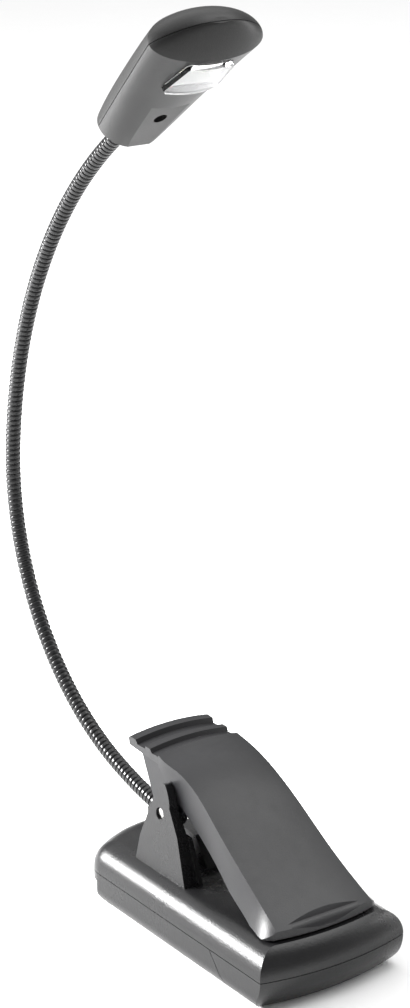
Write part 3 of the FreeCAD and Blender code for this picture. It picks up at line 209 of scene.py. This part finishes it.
def wound_skin(name, begin, finish):
    """One stretch of the winding. At distance s along it and angle a round it, the fraction of a
    turn is f = frac(s / pitch - a / 2 pi), and the outer radius is the neck's radius less the
    groove's depth times |2 f - 1| to the groove's power: round wire with a narrow groove between
    turns. The inside is a plain bore, so the wall is closed."""
    steps = int(round((finish - begin) / WIRE_PITCH * STEPS_PER_TURN)) + 1
    distance = np.linspace(begin, finish, steps)
    angles = np.arange(AROUND) / AROUND
    fraction = (distance[:, None] / WIRE_PITCH - angles[None, :]) % 1.0
    groove = np.abs(2 * fraction - 1) ** GROOVE_POWER
    outer = neck_rings(distance, NECK_RADIUS - GROOVE_DEPTH * groove)
    inner = neck_rings(distance[::-1], np.full(steps, NECK_BORE))
    points = np.concatenate([outer, inner]).reshape(-1, 3)
    # the bore takes the full groove value, so it gets the darkest painted shade and the dullest
    # lacquer
    depth = np.concatenate([groove, np.ones_like(groove)]).ravel()
    quads = grid_faces(2 * steps, AROUND, wrap_rows=True)
    return mesh_piece(name, points, quads, values={"groove": depth})


def end_caps(first, rings, around):
    """Flat caps for a solid tube whose points start at index first: its first ring backwards and
    its last ring forwards, so that both face out."""
    last = first + (rings - 1) * around
    return [range(first + around - 1, first - 1, -1), range(last, last + around)]


def lead_pair(name, begin, finish):
    """Two insulated wires side by side: round tubes at a steady offset from the centreline."""
    steps = int((finish - begin) / LEAD_STEP) + 2
    distance = np.linspace(begin, finish, steps)
    points, quads, caps, tones = [], [], [], []
    for index, way in enumerate((-1, 1)):
        offset = way * LEAD_SPACING / 2
        rings = neck_rings(distance, np.full(steps, LEAD_RADIUS), offset, WIRE_AROUND)
        points.append(rings.reshape(-1, 3))
        first = index * steps * WIRE_AROUND
        quads.append(grid_faces(steps, WIRE_AROUND) + first)
        caps.extend(end_caps(first, steps, WIRE_AROUND))
        tones.append(np.full(steps * WIRE_AROUND, float(index)))
    return mesh_piece(name, np.concatenate(points), np.concatenate(quads), caps,
                      values={"red": np.concatenate(tones)})


def neck_bodies():
    """Body names along the neck, from the base to the head, as the joints chain them."""
    chain = [joint for joint in frame["joints"] if joint["name"].startswith("neck_")]
    chain.sort(key=lambda joint: int(joint["name"].rsplit("_", 1)[1]))
    return [chain[0]["parent"]] + [joint["child"] for joint in chain]


# ------------------------------------------------------------------ torsion spring
PIN = (-17.3, 36.5)
SPRING_RADIUS = 4.0
SPRING_WIRE = 1.1
SPRING_HALF = 8.6
SPRING_TURNS = 12
BASE_FOOT = (-34.0, 19.55)
THUMB_FOOT = (-31.0, 48.45)


def spring_path():
    """From the base foot straight to the coil, round the coil as a helix along the pin, and
    straight out to the thumb foot. Both legs leave the coil along its tangent."""
    def touch(foot, way):
        """The coil's angle where a line from the foot touches it: the foot's own angle about the
        pin, plus or less the angle whose cosine is coil radius over distance."""
        arm = np.array(foot) - PIN
        return math.atan2(arm[1], arm[0]) + way * math.acos(SPRING_RADIUS / np.hypot(*arm))

    start, finish = touch(BASE_FOOT, 1), touch(THUMB_FOOT, -1)
    while finish < start:
        finish += 2 * math.pi
    finish += SPRING_TURNS * 2 * math.pi
    angle = np.linspace(start, finish, SPRING_TURNS * COIL_STEPS)
    coil = np.stack([PIN[0] + SPRING_RADIUS * np.cos(angle),
                     SPRING_HALF - 2 * SPRING_HALF * (angle - start) / (finish - start),
                     PIN[1] + SPRING_RADIUS * np.sin(angle)], -1)
    share = np.linspace(0, 1, LEG_STEPS)[:-1, None]
    foot = np.array([BASE_FOOT[0], SPRING_HALF, BASE_FOOT[1]])
    thumb = np.array([THUMB_FOOT[0], -SPRING_HALF, THUMB_FOOT[1]])
    first = foot + (coil[0] - foot) * share
    last = thumb + (coil[-1] - thumb) * share[::-1]
    return np.concatenate([first, coil, last])


def torsion_spring():
    """A round wire carried along the spring's path; its rings turn with the path."""
    path = spring_path()
    tangents = np.gradient(path, axis=0)
    outward = path - np.array([PIN[0], 0, PIN[1]])
    outward[:, 1] = 0
    radii = np.full(len(path), SPRING_WIRE / 2)
    rings = tube_rings(path, tangents, outward, radii, circle(WIRE_AROUND))
    quads = grid_faces(len(path), WIRE_AROUND)
    caps = end_caps(0, len(path), WIRE_AROUND)
    return mesh_piece("clamp_spring", rings.reshape(-1, 3), quads, caps)


# ------------------------------------------------------------------ shader helpers
NOISE_SPAN = (0.3, 0.7)     # the values of a noise mostly lie between these
FULL_SPAN = (0.0, 1.0)


def group(name, inputs, outputs):
    """A shader node group with named sockets; returns it and its input and output nodes."""
    tree = bpy.data.node_groups.new(name, "ShaderNodeTree")
    for label, kind, default in inputs:
        socket = tree.interface.new_socket(label, in_out="INPUT", socket_type=kind)
        socket.default_value = default
    for label, kind in outputs:
        tree.interface.new_socket(label, in_out="OUTPUT", socket_type=kind)
    return tree, tree.nodes.new("NodeGroupInput"), tree.nodes.new("NodeGroupOutput")


def feed(tree, value, socket):
    """Link an output to a socket, or give the socket a plain number or colour."""
    if isinstance(value, bpy.types.NodeSocket):
        tree.links.new(value, socket)
    else:
        socket.default_value = (*value, 1.0) if isinstance(value, tuple) else value


def node(tree, kind, inputs, **settings):
    """A shader node with its settings, and its inputs given by name or by number."""
    made = tree.nodes.new("ShaderNode" + kind)
    for key, value in settings.items():
        setattr(made, key, value)
    for key, value in inputs.items():
        feed(tree, value, made.inputs[key])
    return made


def object_place(tree):
    """The point on the piece, in the frame, in metres."""
    return node(tree, "TexCoord", {}).outputs["Object"]


def along_axis(tree, axis):
    """The distance along one axis of the frame, in metres."""
    return node(tree, "SeparateXYZ", {0: object_place(tree)}).outputs[axis]


def noise(tree, scale, detail=3.0, roughness=0.55):
    """Noise over the piece: the larger the scale, the finer the pattern."""
    inputs = {"Vector": object_place(tree), "Scale": scale,
              "Detail": detail, "Roughness": roughness}
    return node(tree, "TexNoise", inputs).outputs["Fac"]


def bands(tree, axis, profile, scale, distortion=0.0):
    """Bands square to one axis: a sine or a saw tooth of the distance along it."""
    inputs = {"Vector": object_place(tree), "Scale": scale, "Distortion": distortion}
    wave = node(tree, "TexWave", inputs, wave_type="BANDS", bands_direction=axis,
                wave_profile=profile)
    return wave.outputs["Fac"]


def remap(tree, value, span, result):
    """A straight line that takes the ends of the span to the ends of the result, level beyond."""
    inputs = {"Value": value, "From Min": span[0], "From Max": span[1],
              "To Min": result[0], "To Max": result[1]}
    return node(tree, "MapRange", inputs).outputs["Result"]


def combine(tree, operation, first, second, clamp=False):
    """The sum or the product of two values, held between 0 and 1 if clamp is set."""
    inputs = {0: first, 1: second}
    return node(tree, "Math", inputs, operation=operation, use_clamp=clamp).outputs[0]


def blend_colour(tree, factor, first, second):
    """The first colour where the factor is 0, the second where it is 1, and a mix between."""
    inputs = {0: factor, 6: first, 7: second}
    return node(tree, "Mix", inputs, data_type="RGBA").outputs[2]


def bump_normal(tree, height, strength, depth):
    """The normal that a height gives, where a height of one stands for the depth in metres."""
    inputs = {"Height": height, "Strength": strength, "Distance": depth}
    return node(tree, "Bump", inputs).outputs["Normal"]


def fine_bump(tree, shader, scale, strength, depth=0.0001):
    """A bump of fine noise on the shader; returns the noise so that other sockets can follow it."""
    texture = noise(tree, scale)
    feed(tree, bump_normal(tree, texture, strength, depth), shader.inputs["Normal"])
    return texture


def uneven_gloss(tree, shader, texture, smooth, rough):
    """Roughness that goes from smooth to rough as the noise goes from low to high."""
    feed(tree, remap(tree, texture, NOISE_SPAN, (smooth, rough)), shader.inputs["Roughness"])


def material(name, **sockets):
    """A material with a Principled shader, and those of its plain sockets that are given."""
    made = bpy.data.materials.new(name)
    made.use_nodes = True
    shader = made.node_tree.nodes["Principled BSDF"]
    for key, value in sockets.items():
        feed(made.node_tree, value, shader.inputs[key.replace("_", " ")])
    return made, made.node_tree, shader


# ------------------------------------------------------------------ moulded plastics
GRAIN_DEPTH = 0.00012
CLOUD_SCALE = 38.0
SCUFF_SCALE = 240.0
DUST_SCALE = 130.0
DUST_PATCH_SCALE = 60.0
DUST_COLOUR = (0.45, 0.44, 0.42)


def moulded_skin():
    """Spark-eroded mould texture: a fine grain in the bump; roughness that is the plastic's own
    plus a cloudy part plus a part along the scuffs; and dust, which tints the middles of small
    cells of a Voronoi pattern where a slow noise is high."""
    tree, inside, outside = group(
        "moulded_skin",
        [("Colour", "NodeSocketColor", (0.02, 0.02, 0.02, 1)),
         ("Roughness", "NodeSocketFloat", 0.35),
         ("Grain Size", "NodeSocketFloat", 1800.0),
         ("Grain Height", "NodeSocketFloat", 0.1)],
        [("Colour", "NodeSocketColor"),
         ("Roughness", "NodeSocketFloat"),
         ("Normal", "NodeSocketVector")])

    cell_inputs = {"Vector": object_place(tree), "Scale": DUST_SCALE}
    cells = node(tree, "TexVoronoi", cell_inputs, feature="F1")
    speck = remap(tree, cells.outputs["Distance"], (0.05, 0.035), (0.0, 0.55))
    patch = remap(tree, noise(tree, DUST_PATCH_SCALE, detail=0.0), (0.62, 0.64), FULL_SPAN)
    dust = combine(tree, "MULTIPLY", speck, patch, clamp=True)
    tinted = blend_colour(tree, dust, inside.outputs["Colour"], DUST_COLOUR)
    feed(tree, tinted, outside.inputs["Colour"])

    cloud = remap(tree, noise(tree, CLOUD_SCALE, detail=4.0), NOISE_SPAN, (-0.035, 0.035))
    scuff_pattern = noise(tree, SCUFF_SCALE, detail=6.0, roughness=0.7)
    scuff = remap(tree, scuff_pattern, (0.45, 0.75), (0.0, 0.05))
    change = combine(tree, "ADD", cloud, scuff)
    rough = combine(tree, "ADD", change, inside.outputs["Roughness"], clamp=True)
    feed(tree, rough, outside.inputs["Roughness"])

    grain = noise(tree, inside.outputs["Grain Size"], detail=2.0)
    normal = bump_normal(tree, grain, inside.outputs["Grain Height"], GRAIN_DEPTH)
    feed(tree, normal, outside.inputs["Normal"])
    return tree


MOULDED = moulded_skin()


def moulded(name, colour, roughness, grain_size, grain_height, specular):
    """A moulded plastic: the moulded skin with this plastic's own numbers."""
    made, tree, shader = material(name, Specular_IOR_Level=specular)
    inputs = {"Colour": colour, "Roughness": roughness,
              "Grain Size": grain_size, "Grain Height": grain_height}
    skin = node(tree, "Group", inputs, node_tree=MOULDED)
    for output, socket in (("Colour", "Base Color"), ("Roughness", "Roughness"),
                           ("Normal", "Normal")):
        feed(tree, skin.outputs[output], shader.inputs[socket])
    return made


# ------------------------------------------------------------------ other finishes
METAL_SHADE = 0.72          # the darkest part of a metal against its colour
LACQUER_CREST = (0.011, 0.011, 0.0115)
# painted shade: the lacquer's colour darkened in the grooves between turns and in the bore
LACQUER_GROOVE_SHADE = (0.003, 0.003, 0.003)
SLEEVE_BLACK = (0.015, 0.015, 0.016)
SLEEVE_RED = (0.42, 0.02, 0.018)
SLEEVE_EDGE = 0.0001        # half the width of the change between two sleeves, in metres
WRAP_BLUE = (0.05, 0.09, 0.17)
WRAP_RING = (0.62, 0.62, 0.6)
WRAP_RING_WIDTH = 0.0125    # from the nub end, in metres
CELL_METAL = (0.7, 0.7, 0.7)
CELL_METAL_WIDTH = 0.0015
PRINT_EDGE = 0.0001
BOARD_GREEN = (0.02, 0.12, 0.05)
BOARD_TRACK = (0.05, 0.22, 0.09)
RUBBER_DARK = (0.018, 0.018, 0.018)
RUBBER_PALE = (0.035, 0.034, 0.034)


def metal(name, colour, roughness):
    """Bare metal: a fine noise darkens it a little and makes its gloss uneven."""
    made, tree, shader = material(name, Metallic=1.0)
    texture = fine_bump(tree, shader, scale=900.0, strength=0.15)
    darker = tuple(part * METAL_SHADE for part in colour)
    feed(tree, blend_colour(tree, texture, darker, colour), shader.inputs["Base Color"])
    uneven_gloss(tree, shader, texture, smooth=roughness * 0.8, rough=roughness * 1.25)
    return made


def clear_plastic(name, colour, roughness):
    """Clear plastic or resin, with a very faint ripple."""
    made, tree, shader = material(name, Base_Color=colour, Transmission_Weight=1.0, IOR=1.49)
    texture = fine_bump(tree, shader, scale=160.0, strength=0.03, depth=0.0002)
    uneven_gloss(tree, shader, texture, smooth=roughness * 0.6, rough=roughness * 1.4)
    return made


def winding_paint():
    """Black lacquer on the wound wire: shiny on the crests and dull in the grooves, with painted
    shade that darkens the grooves' colour.
    """
    made, tree, shader = material("neck_black", Coat_Roughness=0.12, Specular_IOR_Level=0.24)
    groove = node(tree, "Attribute", {}, attribute_name="groove").outputs["Fac"]
    # painted shade: the colour darkens from crest to groove with the groove's depth
    tone = blend_colour(tree, groove, LACQUER_CREST, LACQUER_GROOVE_SHADE)
    feed(tree, tone, shader.inputs["Base Color"])
    feed(tree, remap(tree, groove, FULL_SPAN, (0.22, 0.6)), shader.inputs["Roughness"])
    feed(tree, remap(tree, groove, (0.0, 0.5), (0.12, 0.0)), shader.inputs["Coat Weight"])
    fine_bump(tree, shader, scale=1400.0, strength=0.12)
    return made


def insulation(name, red_share):
    """Soft insulation on a pair of wires, black where the red share is 0 and red where it is 1."""
    made, tree, shader = material(name)
    tone = blend_colour(tree, red_share(tree), SLEEVE_BLACK, SLEEVE_RED)
    feed(tree, tone, shader.inputs["Base Color"])
    texture = fine_bump(tree, shader, scale=900.0, strength=0.1)
    uneven_gloss(tree, shader, texture, smooth=0.4, rough=0.52)
    return made


def red_by_wire(tree):
    """The red share that each wire's own points carry."""
    return node(tree, "Attribute", {}, attribute_name="red").outputs["Fac"]


def red_by_side(tree):
    """The red share where the two wires lie each side of the middle plane: a step across it."""
    return remap(tree, along_axis(tree, "Y"), (-SLEEVE_EDGE, SLEEVE_EDGE), FULL_SPAN)


def step_from_nub(tree, nub, width):
    """0 along the cell and 1 within a width of its nub end."""
    begin = nub - width
    return remap(tree, along_axis(tree, "X"), (begin, begin + PRINT_EDGE), FULL_SPAN)


def cell_wrap():
    """A plain printed wrap: dull blue with a pale ring at the nub end, and a bare metal end."""
    made, tree, shader = material("cell_wrap")
    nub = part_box("battery_cell_middle")[1].x
    ring = step_from_nub(tree, nub, WRAP_RING_WIDTH)
    bare = step_from_nub(tree, nub, CELL_METAL_WIDTH)
    wrap = blend_colour(tree, ring, WRAP_BLUE, WRAP_RING)
    feed(tree, blend_colour(tree, bare, wrap, CELL_METAL), shader.inputs["Base Color"])
    feed(tree, bare, shader.inputs["Metallic"])
    texture = fine_bump(tree, shader, scale=500.0, strength=0.08)
    uneven_gloss(tree, shader, texture, smooth=0.28, rough=0.4)
    return made


def board_mask():
    """Green solder mask over faint copper runs, which are the high part of wavering bands."""
    made, tree, shader = material("board_green", Coat_Weight=0.4)
    runs = bands(tree, "Y", "SAW", scale=90.0, distortion=3.0)
    track = remap(tree, runs, (0.45, 0.5), FULL_SPAN)
    feed(tree, blend_colour(tree, track, BOARD_GREEN, BOARD_TRACK), shader.inputs["Base Color"])
    texture = fine_bump(tree, shader, scale=700.0, strength=0.1)
    uneven_gloss(tree, shader, texture, smooth=0.25, rough=0.35)
    return made


def ribbed_rubber():
    """Soft grip rubber with ribs moulded across the jaw: a sine along it drives the bump."""
    made, tree, shader = material("grip_rubber", Specular_IOR_Level=0.35)
    ribs = bands(tree, "X", "SIN", scale=210.0)
    normal = bump_normal(tree, ribs, strength=0.6, depth=0.0002)
    feed(tree, normal, shader.inputs["Normal"])
    grain = noise(tree, 1500.0)
    feed(tree, blend_colour(tree, grain, RUBBER_DARK, RUBBER_PALE), shader.inputs["Base Color"])
    uneven_gloss(tree, shader, grain, smooth=0.65, rough=0.8)
    return made


# colour, roughness, grain size, grain height and specular level of each moulded plastic
MOULDED_PLASTICS = {
    "base_plastic": ((0.009, 0.009, 0.0095), 0.28, 2100.0, 0.55, 0.34),
    "lever_plastic": ((0.010, 0.010, 0.0112), 0.36, 2600.0, 0.25, 0.34),
    "head_plastic": ((0.013, 0.013, 0.013), 0.38, 2400.0, 0.35, 0.27),
    "inner_plastic": ((0.035, 0.035, 0.036), 0.5, 1800.0, 0.3, 0.5),
    "white_plastic": ((0.83, 0.83, 0.81), 0.22, 1500.0, 0.08, 0.5),
    "chip_body": ((0.03, 0.03, 0.033), 0.4, 2600.0, 0.2, 0.5),
}

# colour and roughness of each metal and of each clear plastic
METALS = {
    "pin_steel": ((0.72, 0.71, 0.69), 0.22),
    "spring_steel": ((0.6, 0.59, 0.57), 0.3),
    "sleeve_brass": ((0.72, 0.52, 0.24), 0.28),
    "contact_nickel": ((0.7, 0.67, 0.6), 0.25),
    "screw_black": ((0.09, 0.09, 0.1), 0.35),
}
CLEAR_PLASTICS = {
    "lens_clear": ((0.93, 0.94, 0.95), 0.05),
    "led_resin": ((0.95, 0.93, 0.75), 0.1),
}

FINISHES = {
    "neck_black": winding_paint(),
    "wire_sleeve": insulation("wire_sleeve", red_by_wire),
    "loose_leads": insulation("loose_leads", red_by_side),
    "cell_wrap": cell_wrap(),
    "board_green": board_mask(),
    "grip_rubber": ribbed_rubber(),
}
RECIPES = ((moulded, MOULDED_PLASTICS), (metal, METALS), (clear_plastic, CLEAR_PLASTICS))
for recipe, table in RECIPES:
    for name, values in table.items():
        FINISHES[name] = recipe(name, *values)

CAD_FINISH = {
    "base_plastic": ["base_top_shell", "front_shell", "battery_door"],
    "lever_plastic": ["clip_lever"],
    "head_plastic": ["head_top_cover", "head_bottom_cover", "switch_slider"],
    "inner_plastic": ["cell_tray", "switch_body"],
    "grip_rubber": ["lower_jaw_pad", "upper_jaw_pad"],
    "pin_steel": ["pivot_pin"],
    "sleeve_brass": ["base_ferrule", "head_ferrule"],
    "contact_nickel": ["contact_plates", "contact_springs"],
    "screw_black": ["case_screws", "head_screw"],
    "cell_wrap": ["battery_cell_near", "battery_cell_middle", "battery_cell_far"],
    "loose_leads": ["base_leads", "head_leads"],
    "lens_clear": ["lens"],
    "white_plastic": ["reflector"],
    "board_green": ["led_board"],
    "chip_body": ["board_resistors"],
    "led_resin": ["led_near", "led_far"],
}


def dress(piece, finish):
    """Give a piece one finish all over."""
    piece.data.materials.clear()
    piece.data.materials.append(FINISHES[finish])


for finish, names in CAD_FINISH.items():
    for name in names:
        dress(NODES[name], finish)


# ------------------------------------------------------------------ build the moving pieces
def build_gooseneck():
    """One skin and one pair of wires across each joint, cut half way between joints."""
    bodies = neck_bodies()
    halfway = (BENDS[1:] + BENDS[:-1]) / 2
    cuts = np.concatenate([[NECK_END_GAP], halfway, [NECK_LENGTH - NECK_END_GAP]])
    for number in range(BEND_COUNT):
        begin, finish = cuts[number], cuts[number + 1]
        start = route_point(BENDS[number] - BEND_REACH)
        end = route_point(BENDS[number] + BEND_REACH)
        nodes = [number + 1] if number < BEND_COUNT - 1 else [number + 1, number + 2]
        skin = wound_skin("gooseneck_%d" % (number + 1), begin, finish)
        leads = lead_pair("neck_leads_%d" % (number + 1), begin, finish)
        for piece, slot, prefix in ((skin, "neck_black", "neck_segment_%d"),
                                    (leads, "wire_sleeve", "neck_wires_%d")):
            dress(piece, slot)
            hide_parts(*[prefix % n for n in nodes])
            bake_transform(piece)


def build_spring():
    """The torsion spring, wound about the pin between the base and the lever."""
    piece = torsion_spring()
    dress(piece, "spring_steel")
    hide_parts("torsion_spring")
    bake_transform(piece)


build_gooseneck()
build_spring()


# ------------------------------------------------------------------ studio
VIEW_AZIMUTH = 54.7
VIEW_ELEVATION = 19.2
VIEW_DISTANCE = 0.768
VIEW_TARGET = Vector((-0.0194, 0.0, 0.1281))
VIEW_LENS = 96.2
SENSOR_WIDTH = 36.0

FLOOR_REACH = 4.0
PAPER_DARK = (0.86, 0.86, 0.86)
PAPER_PALE = (0.88, 0.88, 0.88)
ROOM_COLOUR = (1.0, 1.0, 1.0)
ROOM_STRENGTH = 0.42

FOCUS = Vector((-0.02, 0, 0.1))
SKY = Vector((0, 0, 1))
# each light's place and the place that it faces, as distances to the right of the focus, from it
# towards the camera and above it, then its width and height, all in metres, and its watts
STUDIO_LIGHTS = {
    "key_left": ((-0.8, -0.12, 0.34), (0, 0, 0), (0.4, 0.3), 34.0),
    "sheen_right": ((0.45, -0.1, 0.85), (0, 0, 0), (0.6, 0.6), 3.5),
    "paper_wash": ((0, -1.3, 2.4), (0, -1.3, 0), (3.2, 3.2), 48.0),
    "edge_right": ((0.8, -0.25, 0.25), (0, 0, 0), (0.12, 0.6), 3.0),
}


def studio_floor():
    """A pale sheet that the base stands on: one flat square."""
    mesh = bpy.data.meshes.new("studio_floor")
    corners = [(-FLOOR_REACH, -FLOOR_REACH, 0), (FLOOR_REACH, -FLOOR_REACH, 0),
               (FLOOR_REACH, FLOOR_REACH, 0), (-FLOOR_REACH, FLOOR_REACH, 0)]
    mesh.from_pydata(corners, [], [(0, 1, 2, 3)])
    floor = bpy.data.objects.new("studio_floor", mesh)
    bpy.context.scene.collection.objects.link(floor)
    made, tree, shader = material("studio_paper", Roughness=0.9)
    texture = fine_bump(tree, shader, scale=60.0, strength=0.05)
    feed(tree, blend_colour(tree, texture, PAPER_DARK, PAPER_PALE), shader.inputs["Base Color"])
    mesh.materials.append(made)


def view_axes():
    """Unit vectors from the object to the camera and to the right of its view."""
    azimuth, elevation = math.radians(VIEW_AZIMUTH), math.radians(VIEW_ELEVATION)
    back = Vector((math.sin(azimuth) * math.cos(elevation),
                   -math.cos(azimuth) * math.cos(elevation), math.sin(elevation)))
    right = Vector((math.cos(azimuth), math.sin(azimuth), 0))
    return back, right


def camera():
    """The camera, at a distance from the target along the view's own axis."""
    back = view_axes()[0]
    data = bpy.data.cameras.new("camera")
    data.sensor_width = SENSOR_WIDTH
    data.lens = VIEW_LENS
    made = bpy.data.objects.new("camera", data)
    made.location = VIEW_TARGET + back * VIEW_DISTANCE
    made.rotation_mode = "QUATERNION"
    made.rotation_quaternion = (-back).to_track_quat("-Z", "Y")
    bpy.context.scene.collection.objects.link(made)
    bpy.context.scene.camera = made


def room():
    """Even light from all round."""
    made = bpy.data.worlds.new("studio")
    made.use_nodes = True
    background = made.node_tree.nodes["Background"]
    feed(made.node_tree, ROOM_COLOUR, background.inputs["Color"])
    feed(made.node_tree, ROOM_STRENGTH, background.inputs["Strength"])
    bpy.context.scene.world = made


def studio_point(rightward, forward, upward):
    """The focus plus each distance times its unit vector."""
    back, right = view_axes()
    return FOCUS + right * rightward + back * forward + SKY * upward


def studio_light(name, place, target, size, power):
    """A rectangular soft light that faces a point."""
    data = bpy.data.lights.new(name, "AREA")
    data.shape = "RECTANGLE"
    data.size, data.size_y = size
    data.energy = power
    lamp = bpy.data.objects.new(name, data)
    lamp.location = studio_point(*place)
    towards = studio_point(*target) - studio_point(*place)
    lamp.rotation_euler = towards.to_track_quat("-Z", "Y").to_euler()
    bpy.context.scene.collection.objects.link(lamp)


camera()
studio_floor()
room()
for name, settings in STUDIO_LIGHTS.items():
    studio_light(name, *settings)
bpy.context.scene.view_settings.view_transform = "Standard"

bpy.context.view_layer.update()
